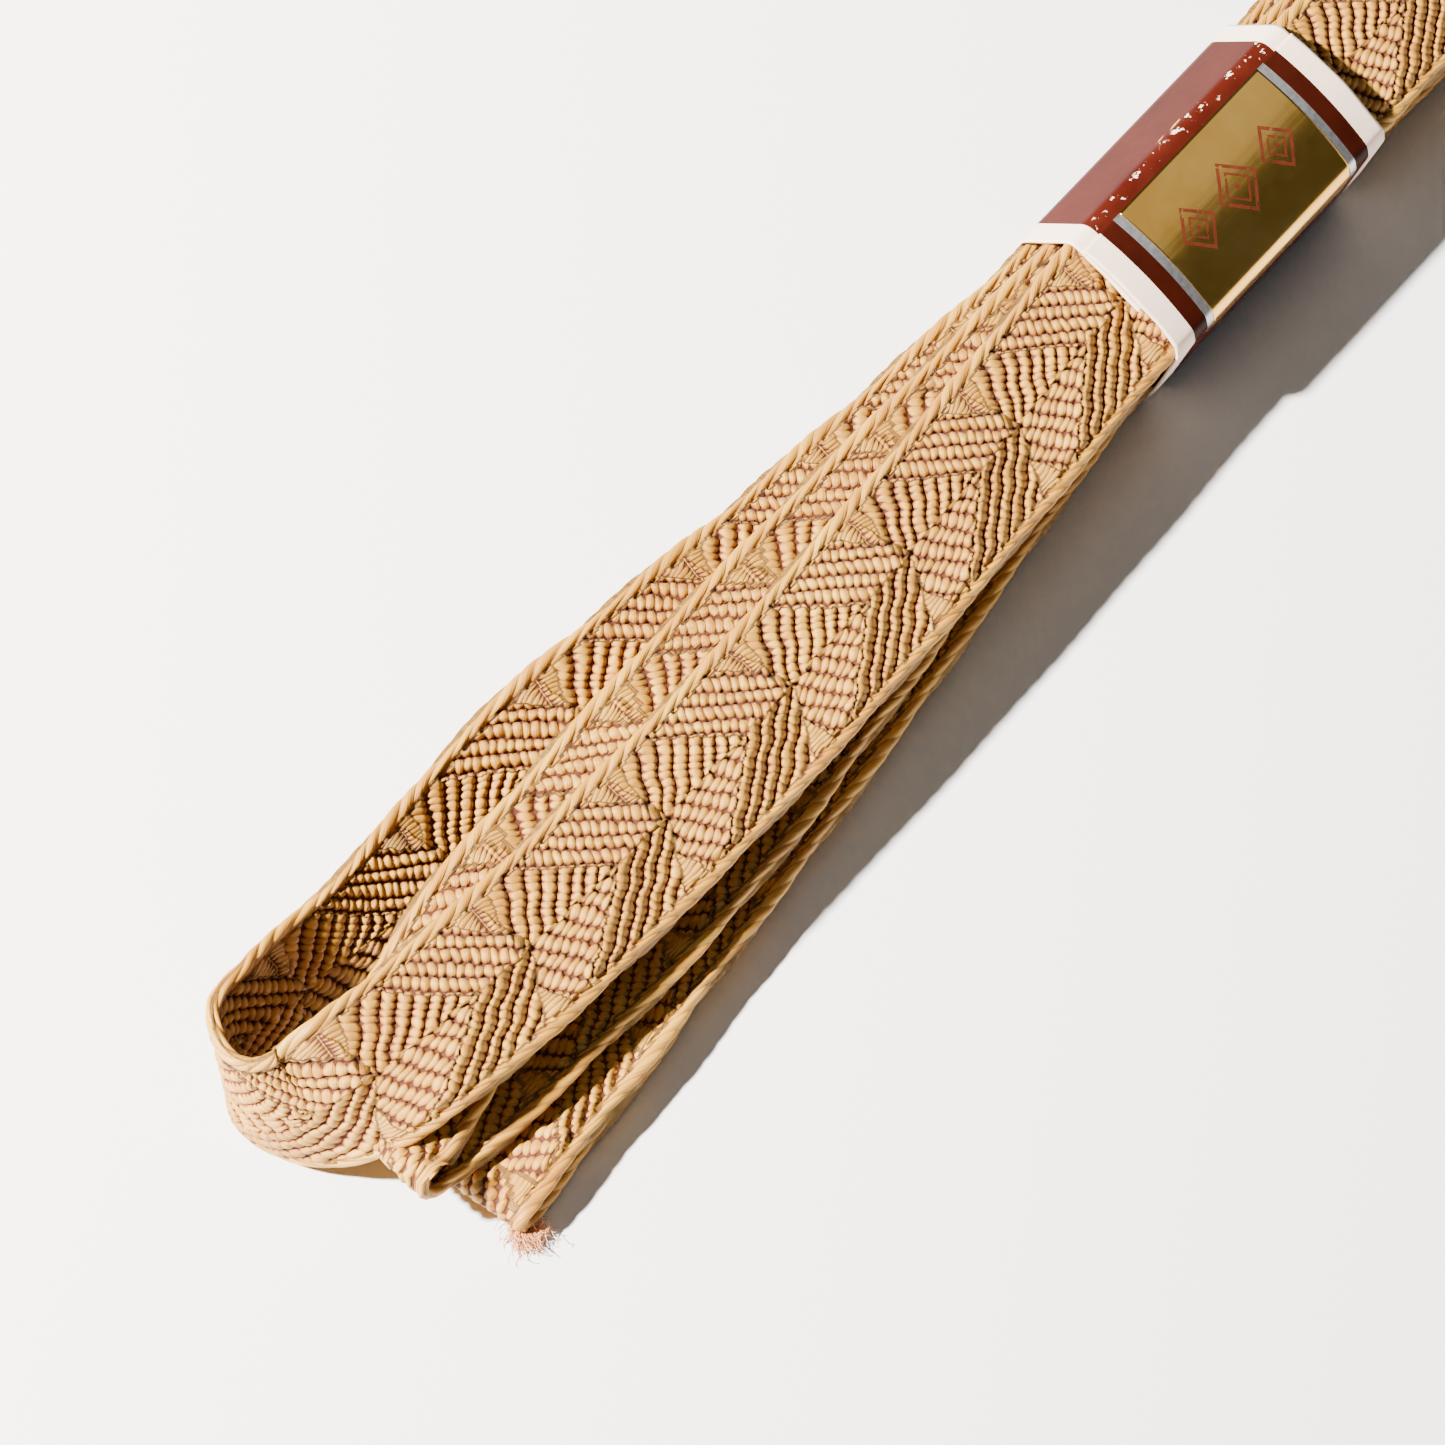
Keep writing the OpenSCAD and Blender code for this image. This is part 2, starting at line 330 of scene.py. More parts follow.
def braid_outline():
    """One ring of the braid: place across, place above the middle, how far each point looks
    outwards, and how far it looks up."""
    flat = np.linspace(-ROPE_MID, ROPE_MID, FACE_POINTS)
    turn = np.linspace(0.5 * np.pi, -0.5 * np.pi, EDGE_POINTS + 2)[1:-1]
    inside = np.clip(np.abs(flat) - ROPE_MID + ROPE_R, 0, ROPE_R)
    rise = np.where(inside > 0, ROPE_R * np.sqrt(np.clip(1 - (1 - inside / ROPE_R) ** 2, 0, 1)), 0)
    rise = np.maximum(CORE, rise)
    v = np.r_[flat, ROPE_MID + 0 * turn, flat[::-1], -ROPE_MID + 0 * turn]
    n = np.r_[rise, 0 * turn, -rise[::-1], 0 * turn]
    out = np.r_[0 * flat, np.cos(turn), 0 * flat, -np.cos(turn)]
    lift = np.r_[1 + 0 * flat, np.sin(turn), -1 + 0 * flat, -np.sin(turn)]
    return v, n, out, lift


def braid_shape(length):
    """The whole cord laid straight, in mm: distance along, place across, place above the
    middle, and the place counted in ribs and in stitches."""
    v, n, out, lift = (part[None, :] for part in braid_outline())
    s = np.r_[
        np.arange(0, FINE_UNTIL, FINE_STEP), np.arange(FINE_UNTIL, MEDIUM_UNTIL, MEDIUM_STEP),
        np.arange(MEDIUM_UNTIL, length - 0.3, COARSE_STEP), length,
    ]
    is_edge = out != 0
    facing = np.sign(lift + 1e-9)
    x = repeats_along(s)[:, None] * REPEAT
    # The pattern points back to the first end; the far face has the same one, moved along
    x = np.where(facing < 0, -x, x + 0.45 * REPEAT)
    y = -v + 0 * s[:, None]
    rib, stitch, kind, rise, is_fan = facets(x, y)
    height = STITCH_HEIGHT * stitch_relief(rib, stitch, is_fan) + CREST * rise

    # The edges are ropes of long slanted stitches
    arc = np.where(is_edge, ROPE_MID + ROPE_R * np.arccos(np.clip(np.abs(lift), 0, 1)), np.abs(v))
    around = (arc - ROPE_FROM) / ROPE_AROUND
    rope_stitch = x / ROPE_STITCH - ROPE_SLANT * around + 0.12 * np.sin(0.9 * x)
    rope_rib = 0.40 * (around - 0.75)
    on_rope = is_edge | (np.abs(v) > ROPE_FROM + 0.18 * np.sin(2 * np.pi * rope_stitch))
    scallop = SCALLOP * np.cos(2 * np.pi * (x / REPEAT + 0.1)) + 0.07 * np.sin(0.37 * x)
    rope_height = ROPE_RELIEF * np.sqrt(np.clip(1 - (1.8 * off(rope_stitch)) ** 2, 0, 1))
    height = np.where(on_rope, rope_height, height)
    rib = np.where(on_rope, rope_rib, rib)
    stitch = np.where(on_rope, rope_stitch, stitch)
    kind = np.where(on_rope, ROPE_KIND, kind)

    radius = ROPE_R + rope_height
    place_v = v + out * (radius + scallop)
    place_n = n + np.where(is_edge, lift * radius, facing * height)
    # A number from 0 to 1 for each stitch, as good as random but always the same
    seed = np.round(rib) * 12.9898 + np.round(stitch) * 78.233 + kind * 37.719
    tone = np.mod(np.sin(seed) * 43758.5453, 1.0)
    rise = np.where(on_rope, 0.0, rise)
    return s, place_v, place_n, rib, stitch, kind, tone, rise


def place_on_route(rows, place_v, place_n):
    """Points given across and above the middle, in mm, set round each row of a route."""
    middle, side, normal = frames_along(rows)
    return (
        middle[:, None, :]
        + MM * place_v[..., None] * side[:, None, :]
        + MM * place_n[..., None] * normal[:, None, :]
    )


def braided_cord(material):
    """The whole cord as one closed mesh of stitches, swept along its route."""
    fine = smooth_rows(ROUTE, 0.5 * MM)
    at = np.r_[0, np.cumsum(np.linalg.norm(np.diff(fine[:, :3], axis=0), axis=1))]
    s, place_v, place_n, rib, stitch, kind, tone, rise = braid_shape(at[-1] / MM)
    rows = np.stack([np.interp(s * MM, at, fine[:, k]) for k in range(4)], axis=1)
    points = place_on_route(rows, place_v, place_n)
    faces = grid_faces(*points.shape[:2])
    obj = new_object("braided_cord", points.reshape(-1, 3), faces, material)
    store(obj, "weave", np.stack([rib, stitch, kind], axis=-1).reshape(-1, 3))
    store(obj, "tone", tone.ravel())
    store(obj, "rise", rise.ravel())
    return obj, at[-1]


# ---------------------------------------------------------------- materials


def colour(code):
    """A linear RGBA colour from an sRGB hex code."""
    channels = [int(code[i : i + 2], 16) / 255 for i in (1, 3, 5)]
    return [c / 12.92 if c <= 0.04045 else ((c + 0.055) / 1.055) ** 2.4 for c in channels] + [1]


def patches_of(size):
    """The scale that makes a noise's patches about this many mm wide."""
    return 1 / (size * MM)


class Nodes:
    """The nodes of a material or of the world, added one at a time."""

    def __init__(self, owner, shader="Principled BSDF"):
        owner.use_nodes = True
        self.owner = owner
        self.tree = owner.node_tree
        self.shader = self.tree.nodes[shader]

    def add(self, kind, *inputs, stops=(), **settings):
        """Adds a node with its settings, and links or sets its inputs: in order, or by a name
        with a capital letter. Stops are the places and the colour codes of a ramp."""
        node = self.tree.nodes.new("ShaderNode" + kind)
        for key, value in settings.items():
            if key[0].islower():
                setattr(node, key, value)
            else:
                self.join(value, node.inputs[key])
        for socket, value in zip([i for i in node.inputs if i.enabled], inputs):
            self.join(value, socket)
        for _ in stops[2:]:
            node.color_ramp.elements.new(1)
        for k, (place, code) in enumerate(stops):
            node.color_ramp.elements[k].position = place
            node.color_ramp.elements[k].color = colour(code)
        return node

    def join(self, value, socket):
        """Sets a socket to a value, or links it to a socket or to a node's first output."""
        if isinstance(value, bpy.types.Node):
            value = next(o for o in value.outputs if o.enabled)
        if isinstance(value, bpy.types.NodeSocket):
            self.tree.links.new(value, socket)
        else:
            socket.default_value = value

    def finish(self, **values):
        """Sets or links the shader's own sockets, and gives the finished material."""
        for key, value in values.items():
            self.join(value, self.shader.inputs[key.replace("_", " ")])
        return self.owner


def off_centre(n, value):
    """How far a value is from the nearest whole number."""
    return n.add("Math", value, n.add("Math", value, operation="ROUND"), operation="SUBTRACT")


def stitch_dome(n, rib, stitch, rib_share, stitch_share):
    """1 at the middle of each stitch, curving down to 0 in the gaps round it."""
    across = n.add("Math", off_centre(n, rib), rib_share, operation="MULTIPLY")
    along = n.add("Math", off_centre(n, stitch), stitch_share, operation="MULTIPLY")
    along_squared = n.add("Math", along, along, operation="MULTIPLY")
    spread = n.add("Math", across, across, along_squared, operation="MULTIPLY_ADD")
    left = n.add("Math", 1.0, spread, operation="SUBTRACT", use_clamp=True)
    return n.add("Math", left, operation="SQRT")


def braided_silk():
    """Straw-gold silk, braided: fine glossy filaments along each stitch, and painted shade in the
    gaps, partly the silk's own deeper colour there. The filaments are drawn several times too
    coarse, or they wouldn't show."""
    n = Nodes(bpy.data.materials.new("braided_silk"))
    weave = n.add("SeparateXYZ", n.add("Attribute", attribute_name="weave").outputs["Vector"])
    rib, stitch, kind = (weave.outputs[k] for k in "XYZ")
    dome = stitch_dome(n, rib, stitch, 2.04, 1.62)
    across = n.add("Math", off_centre(n, rib), 0.9, operation="MULTIPLY")
    along = n.add("Math", stitch, 9.0, operation="MULTIPLY")
    filaments = n.add("TexNoise", n.add("CombineXYZ", across, along, kind), 1.0, 2, 0.6)
    patches = n.add("TexNoise", n.add("NewGeometry"), patches_of(11.11), 2, 0.5)
    own_tone = n.add("Attribute", attribute_name="tone").outputs["Fac"]
    tone = n.add("Math", own_tone, 0.34, -0.09, operation="MULTIPLY_ADD")
    tone = n.add("Math", filaments, 0.60, tone, operation="MULTIPLY_ADD")
    tone = n.add("Math", patches, 0.50, tone, operation="MULTIPLY_ADD")
    silk = n.add("ValToRGB", tone, stops=[
        (0.15, "#9A6018"), (0.45, "#AD7620"), (0.75, "#BE8A2C"), (0.95, "#CD9F3C"),
    ])
    # Painted shade: the colour is multiplied darker towards the gaps between stitches, where shade falls;
    # part of it is the silk's own deeper colour there.
    gap = n.add("ValToRGB", dome, stops=[
        (0.0, "#6E451C"), (0.25, "#A67A3C"), (0.5, "#E6CCA0"), (0.7, "#FFFFFF"),
    ])
    rise = n.add("Attribute", attribute_name="rise").outputs["Fac"]
    facet_slope = n.add("Bump", Height=rise, Distance=1.6 * MM, Strength=1.0)
    height = n.add("Math", filaments, 0.34, dome, operation="MULTIPLY_ADD")
    dull_gap = n.add("Math", dome, -0.36, 0.72, operation="MULTIPLY_ADD")
    return n.finish(
        Base_Color=n.add("Mix", 1.0, silk, gap, data_type="RGBA", blend_type="MULTIPLY"),
        Roughness=n.add("Math", filaments, 0.22, dull_gap, operation="MULTIPLY_ADD"),
        Normal=n.add("Bump", Height=height, Distance=0.28 * MM, Strength=1.0, Normal=facet_slope),
        Sheen_Weight=0.10,
        Sheen_Roughness=0.4,
        Sheen_Tint=colour("#F6DFB8"),
        Specular_IOR_Level=0.5,
    )


silk = braided_silk()
cord, cord_length = braided_cord(silk)
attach(cord, "hank")
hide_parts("cord")

# ---------------------------------------------------------------- bindings, tassels and loose ends


def beyond_end(rows, distances):
    """Rows that run on past the last of two rows, by distances in mm."""
    step = unit(rows[1, :3] - rows[0, :3])
    return np.array([[*(rows[1, :3] + step * d * MM), rows[1, 3]] for d in distances])


def swept(rows, place_v, place_n, name, material):
    """A closed outline swept along rows, with both its ends drawn together."""
    points = place_on_route(rows, place_v, place_n)
    points[[0, -1]] = points[[0, -1]].mean(axis=1, keepdims=True)
    return new_object(name, points.reshape(-1, 3), grid_faces(*points.shape[:2]), material)


WHIPPING_LENGTH = 4.4
WHIPPING_HALF_DEPTH = 1.0
WHIPPING_THREAD = 0.26


def whipping(name, end, material):
    """Thread wound round and round the braid's end, each turn a small round ridge."""
    turns, rings, around = 9, 82, 72
    rows = np.vstack([end[1:2], beyond_end(end, np.linspace(0, WHIPPING_LENGTH, rings)[1:])])
    angle = np.linspace(0, 2 * np.pi, around, endpoint=False)[None, :]
    turn = np.linspace(0, turns, rings)[:, None] + angle / (2 * np.pi)
    ridge = WHIPPING_THREAD * np.sqrt(np.clip(1 - (1.9 * off(turn)) ** 2, 0, 1))
    flat_cos = np.sign(np.cos(angle)) * np.abs(np.cos(angle)) ** 0.55
    flat_sin = np.sign(np.sin(angle)) * np.abs(np.sin(angle)) ** 0.75
    place_v = (HALF + ridge) * flat_cos
    place_n = (WHIPPING_HALF_DEPTH + ridge) * flat_sin
    obj = swept(rows, place_v, place_n, name, material)
    weave = np.stack([angle * 6 + 0 * turn, turn, 0 * turn], axis=-1)
    store(obj, "weave", weave.reshape(-1, 3))
    return obj


def strands(name, paths, radius, sides, material):
    """Many thin round threads as one mesh. paths has one row of points a thread."""
    count, points = paths.shape[:2]
    travel = unit(np.gradient(paths, axis=1))
    side = unit(np.cross(travel, np.array((0.13, 0.21, 1.0))))
    up = np.cross(travel, side)
    angle = np.linspace(0, 2 * np.pi, sides, endpoint=False)
    taper = np.r_[np.ones(points - 1), 0.3][None, :, None, None]
    ring = (np.cos(angle)[:, None] * side[:, :, None, :] + np.sin(angle)[:, None] * up[:, :, None, :])
    verts = paths[:, :, None, :] + radius * taper * ring
    faces = grid_faces(points, sides)
    faces = (faces[None] + (np.arange(count) * points * sides)[:, None, None]).reshape(-1, 4)
    obj = new_object(name, verts.reshape(-1, 3), faces, material)
    tone = np.repeat(rng.random(count), points * sides)
    run = np.tile(np.repeat(np.linspace(0, 1, points), sides), count)
    store(obj, "strand", np.stack([run, tone, 0 * tone], axis=-1))
    return obj


THREADS_IN_TASSEL = 420
THREAD_RADIUS = 0.24


def tassel(name, end, threads, material):
    """A flat bunch of loose silk threads beyond the whipping, spreading a little."""
    rows = np.vstack([beyond_end(end, [4.0, 7.5, 10.4]), threads])
    fine = smooth_rows(rows, 1.3 * MM)
    middle, side, normal = frames_along(fine)
    t = np.linspace(0, 1, len(fine))
    width = np.interp(t, [0, 0.15, 0.4, 1], [7.0, 7.3, 8.2, 8.9])
    depth = np.interp(t, [0, 0.15, 0.4, 1], [0.7, 1.4, 1.7, 1.85])
    count = THREADS_IN_TASSEL
    radial, angle = np.sqrt(rng.random(count)), rng.random(count) * 2 * np.pi
    a = radial * np.sign(np.cos(angle)) * np.abs(np.cos(angle)) ** 0.6
    b = radial * np.sin(angle)
    wave = 0.16 * np.sin(t[None, :] * rng.uniform(14, 26, (count, 1)) + rng.uniform(0, 6.3, (count, 1)))
    drift = rng.normal(0, 0.06, (count, 1)) * t[None, :] ** 2
    v = (np.clip(a[:, None] + drift, -1, 1) * (width - 0.3)[None, :] + wave)[..., None] * MM
    h = (b[:, None] * (depth - 0.25)[None, :] + 0.5 * wave)[..., None] * MM
    paths = middle[None] + v * side[None] + h * normal[None]
    paths[:, :, 2] = np.maximum(paths[:, :, 2], 0.3 * MM)
    reach = rng.uniform(0.955, 1.0, count)
    paths = np.stack([
        np.stack([np.interp(t * r, t, path[:, k]) for k in range(3)], axis=1)
        for path, r in zip(paths, reach)
    ])
    return strands(name, paths, THREAD_RADIUS * MM, 5, material)


TUFT_AT = (-0.1232, -0.0185, 0.0009)
FILAMENT_RADIUS = 0.04


def loose_filaments(name, material):
    """A small fuzz of broken filaments pulled out of the lowest fold."""
    count, points = 420, 12
    t = np.linspace(0, 1, points)
    root = np.array(TUFT_AT) + rng.normal(0, 1, (count, 3)) * (0.0007, 0.0007, 0.0002)
    aim = rng.normal(0, 1, (count, 3)) * (0.8, 0.8, 0.25) + (-1.2, -0.7, -0.1)
    turn = rng.uniform(2.5, 7, (count, 1)) * t[None] + rng.uniform(0, 6.3, (count, 1))
    length = rng.uniform(0.7, 2.2, (count, 1, 1)) * MM
    line = unit(aim)[:, None] * t[None, :, None]
    curl = np.stack([np.cos(turn), np.sin(turn), 0.3 * np.cos(1.7 * turn)], axis=-1)
    paths = root[:, None] + length * (line + 0.30 * t[None, :, None] * curl)
    paths[:, :, 2] = np.clip(paths[:, :, 2], 0.12 * MM, 2 * MM)
    return strands(name, paths, FILAMENT_RADIUS * MM, 4, material)


def loose_silk(name, light, mid, dark):
    """Loose silk threads: soft and lustrous, and a little different from one to the next."""
    n = Nodes(bpy.data.materials.new(name))
    strand = n.add("SeparateXYZ", n.add("Attribute", attribute_name="strand").outputs["Vector"])
    position = n.add("NewGeometry")
    place = n.add("TexNoise", position, patches_of(1.4286), 3, 0.6)
    thread_tone = n.add("Math", strand.outputs["Y"], 0.6, operation="MULTIPLY")
    tone = n.add("Math", place, 0.5, thread_tone, operation="MULTIPLY_ADD")
    along = n.add("Mapping", position, Scale=(patches_of(2.5), patches_of(0.25), patches_of(0.25)))
    fine = n.add("TexNoise", along, 1.0, 2, 0.5)
    return n.finish(
        Base_Color=n.add("ValToRGB", tone, stops=[(0.2, dark), (0.55, mid), (0.9, light)]),
        Roughness=n.add("Math", place, 0.2, 0.32, operation="MULTIPLY_ADD"),
        Normal=n.add("Bump", Height=fine, Distance=0.05 * MM, Strength=0.5),
        Sheen_Weight=0.2,
        Sheen_Tint=colour("#F6DFB8"),
    )


def wound_thread():
    """The whipping's silk thread: turns side by side, dark between them."""
    n = Nodes(bpy.data.materials.new("wound_thread"))
    weave = n.add("SeparateXYZ", n.add("Attribute", attribute_name="weave").outputs["Vector"])
    around, turn = weave.outputs["X"], weave.outputs["Y"]
    dome = stitch_dome(n, 0.0, turn, 1.0, 1.9)
    fine_turn = n.add("Math", turn, 9.0, operation="MULTIPLY")
    ply = n.add("TexNoise", n.add("CombineXYZ", around, fine_turn), 1.0, 2, 0.5)
    half_dome = n.add("Math", dome, 0.5, operation="MULTIPLY")
    tone = n.add("Math", ply, 0.5, half_dome, operation="MULTIPLY_ADD")
    return n.finish(
        Base_Color=n.add("ValToRGB", tone, stops=[(0.15, "#43260E"), (0.5, "#8F5E2C"), (0.9, "#BB8644")]),
        Roughness=n.add("Math", ply, 0.2, 0.35, operation="MULTIPLY_ADD"),
        Normal=n.add("Bump", Height=ply, Distance=0.06 * MM, Strength=0.6),
    )


UPPER_END = ROUTE[[1, 0]]
LOWER_END = ROUTE[[-2, -1]]
UPPER_THREADS = np.array([(0.146, -0.0094, 0.0049, 3), (0.154, -0.0102, 0.0032, 1),
                          (0.164, -0.011, 0.0024, 0)])
LOWER_THREADS = np.array([(0.146, 0.0082, 0.0023, 0), (0.154, 0.0092, 0.0023, 0),
                          (0.164, 0.010, 0.0024, 0)])

thread = wound_thread()
fringe = loose_silk("loose_silk", "#D8AF6E", "#C39253", "#8E5B2A")
fuzz = loose_silk("fuzzy_silk", "#E0A878", "#D09260", "#B07448")
for which, end, threads in (("upper", UPPER_END, UPPER_THREADS), ("lower", LOWER_END, LOWER_THREADS)):
    binding = whipping("whipping_" + which, end, thread)
    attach(binding, "hank")
    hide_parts("binding_" + which)
    bunch = tassel("threads_" + which, end, threads, fringe)
    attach(bunch, "hank")
    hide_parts("tassel_" + which)
tuft = loose_filaments("loose_filaments", fuzz)
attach(tuft, "hank")

# ---------------------------------------------------------------- the paper band, in mm

BAND_HALF = 16.5
PAPER = 0.3
GLUE = 0.1
FOIL = 0.06
FOIL_HALF = 10.9
BORDER = 2.6
STRIPE = 2.0
TUCKED = 8.0
TOP_CREASE = np.array((1.6, 18.05))
TOP_EDGE = np.array((-9.95, 12.45))
TOP_FALL = unit(TOP_EDGE - TOP_CREASE)
FACE_OUT = np.array((TOP_FALL[1], -TOP_FALL[0]))
WRAP = np.array([
    TOP_CREASE + TUCKED * TOP_FALL, TOP_CREASE, (2.4, 18.35), (3.2, 18.1), (8.55, 13.2),
    (8.85, 12.3), (8.2, 0.8), (7.4, 0.3), (-6.2, 0.3), (-6.9, 0.7), (-8.0, 3.2), (-10.4, 11.5),
])
FLAP_LIFT = PAPER + GLUE
# Middle and half length of each diamond on the foil
DIAMONDS = ((-6.2, 2.2), (0, 2.6), (6.2, 2.2))


def swelling_line(start, end, swell, points=40):
    """A line from start to end that swells outwards a little in its middle."""
    t = np.linspace(0, 1, points)[:, None]
    return start + t * (end - start) + swell * 4 * t * (1 - t) * FACE_OUT


FLAP = swelling_line(TOP_EDGE + FLAP_LIFT * FACE_OUT, TOP_CREASE + FLAP_LIFT * FACE_OUT, 0.80)


def even_line(points, step):
    """The same line with points about a step apart, and its corners a little rounded."""
    at = np.r_[0, np.cumsum(np.linalg.norm(np.diff(points, axis=0), axis=1))]
    where = np.linspace(0, at[-1], int(at[-1] / step) + 1)
    line = np.stack([np.interp(where, at, points[:, k]) for k in range(2)], axis=1)
    soft = line.copy()
    soft[1:-1] = 0.25 * line[:-2] + 0.5 * line[1:-1] + 0.25 * line[2:]
    return soft, where


def sheet_along(name, points, gap, thickness, half, wander, material):
    """A sheet wrapped on the outside of a line. wander moves its two cut ends in and out."""
    line, arc = even_line(points, 0.3)
    way = unit(np.gradient(line, axis=0))
    outward = np.stack([-way[:, 1], way[:, 0]], axis=1)
    reach = half + wander * np.sin(arc * 0.9 + 1) * np.sin(arc * 0.23)
    x = np.linspace(-1, 1, 111)[:, None] * reach
    sides = []
    for lift in (gap + thickness, gap):
        yz = np.broadcast_to(line + outward * lift, (len(x), *line.shape))
        sides.append(np.concatenate([x[..., None], yz], axis=-1))
    ring = np.concatenate([sides[0], sides[1][:, ::-1]], axis=1)
    count, around = ring.shape[:2]
    faces = grid_faces(count, around)
    k = np.arange(len(line) - 1)
    cap = np.stack([k, k + 1, around - 2 - k, around - 1 - k], axis=1)
    faces = np.vstack([faces, cap[:, ::-1], cap + (count - 1) * around])
    obj = new_object(name, ring.reshape(-1, 3) * MM, faces, material)
    arcs = np.r_[arc, arc[::-1]][None, :] + 0 * ring[..., 0]
    outer = np.r_[np.ones(len(arc)), np.zeros(len(arc))][None, :] + 0 * ring[..., 0]
    store(obj, "sheet", np.stack([ring[..., 0], arcs, outer], axis=-1).reshape(-1, 3))
    return obj


def rubbed_crease(n, arc, crease_at, position):
    """1 in small ragged patches along the crease, where the print has been rubbed off."""
    from_crease = n.add("Math", arc, crease_at, operation="SUBTRACT")
    distance = n.add("Math", from_crease, operation="ABSOLUTE")
    share = n.add("Math", distance, 1.6, operation="DIVIDE")
    near = n.add("Math", 1.0, share, operation="SUBTRACT", use_clamp=True)
    ragged = n.add("TexNoise", position, patches_of(1.25), 6, 0.7)
    wear = n.add("Math", near, 0.20, ragged, operation="MULTIPLY_ADD")
    return n.add("Math", wear, 0.745, operation="GREATER_THAN")


def printed_paper(flap_from, crease_at):
    """Cream paper printed maroon and varnished, with a dark stripe and a silver one across the
    flap. The print stops short of the edges, and the top crease is rubbed bare."""
    n = Nodes(bpy.data.materials.new("printed_paper"))
    sheet = n.add("SeparateXYZ", n.add("Attribute", attribute_name="sheet").outputs["Vector"])
    x = n.add("Math", sheet.outputs["X"], operation="ABSOLUTE")
    arc, outer = sheet.outputs["Y"], sheet.outputs["Z"]
    position = n.add("NewGeometry")
    fibre = n.add("TexNoise", position, patches_of(0.5556), 4, 0.6)
    cloud = n.add("TexNoise", position, patches_of(4.545), 3, 0.6)
    half_fibre = n.add("Math", fibre, 0.5, operation="MULTIPLY")
    pulp = n.add("Math", cloud, 0.5, half_fibre, operation="MULTIPLY_ADD")
    cream = n.add("ValToRGB", pulp, stops=[(0.3, "#EFD3BE"), (0.7, "#F8E2D2")])
    maroon = n.add("ValToRGB", cloud, stops=[(0.3, "#380F08"), (0.7, "#45170F")])
    stripe = n.add("ValToRGB", cloud, stops=[(0.3, "#280B05"), (0.7, "#331008")])
    silver = n.add("ValToRGB", fibre, stops=[(0.3, "#9C9CA0"), (0.7, "#C4C4C6")])

    print_edge = BAND_HALF - BORDER
    on_flap = n.add("Math", arc, flap_from, operation="GREATER_THAN")
    in_print = n.add("Math", x, print_edge + 0.01, operation="LESS_THAN")
    is_stripe = n.add("Math", on_flap, in_print, operation="MULTIPLY")
    inside_stripe = n.add("Math", x, print_edge - STRIPE, operation="LESS_THAN")
    is_silver = n.add("Math", on_flap, inside_stripe, operation="MULTIPLY")
    face = n.add("Mix", is_stripe, maroon, stripe, data_type="RGBA")
    face = n.add("Mix", is_silver, face, silver, data_type="RGBA")

    ragged_edge = n.add("Math", fibre, 0.06, print_edge - 0.03, operation="MULTIPLY_ADD")
    inked = n.add("Math", x, ragged_edge, operation="LESS_THAN")
    is_outside = n.add("Math", outer, 0.6, operation="GREATER_THAN")
    inked = n.add("Math", inked, is_outside, operation="MULTIPLY")
    rubbed = rubbed_crease(n, arc, crease_at, position)
    unrubbed = n.add("Math", 1.0, rubbed, operation="SUBTRACT")
    inked = n.add("Math", inked, unrubbed, operation="MULTIPLY")

    varnish = n.add("Math", inked, 0.28, operation="MULTIPLY")
    bare_rough = n.add("Math", cloud, 0.1, 0.55, operation="MULTIPLY_ADD")
    silver_ink = n.add("Math", is_silver, inked, operation="MULTIPLY")
    relief = n.add("Math", fibre, 0.3, cloud, operation="MULTIPLY_ADD")
    return n.finish(
        Base_Color=n.add("Mix", inked, cream, face, data_type="RGBA"),
        Roughness=n.add("Math", bare_rough, varnish, operation="SUBTRACT"),
        Metallic=n.add("Math", silver_ink, 0.9, operation="MULTIPLY"),
        Normal=n.add("Bump", Height=relief, Distance=0.05 * MM, Strength=0.5),
        Specular_IOR_Level=0.03,
    )


def diamond(n, x, y, middle, size, line):
    """1 on the outline of a diamond, whose middle is at some place along the panel."""
    along = n.add("Math", n.add("Math", x, middle, operation="SUBTRACT"), operation="ABSOLUTE")
    across = n.add("Math", y, operation="ABSOLUTE")
    reach = n.add("Math", across, 0.9, along, operation="MULTIPLY_ADD")
    past = n.add("Math", reach, size, operation="SUBTRACT")
    from_line = n.add("Math", past, operation="ABSOLUTE")
    return n.add("Math", from_line, line, operation="LESS_THAN")


def diamonds_and_dots(n, x, y):
    """1 on a row of three diamonds, each with a smaller one and a dot inside it."""
    mark = 0.0
    for middle, size in DIAMONDS:
        for part_size, line in ((size, 0.24), (size - 1.0, 0.16), (0.0, 0.34)):
            part = diamond(n, x, y, middle, part_size, line)
            mark = n.add("Math", mark, part, operation="MAXIMUM")
    return mark


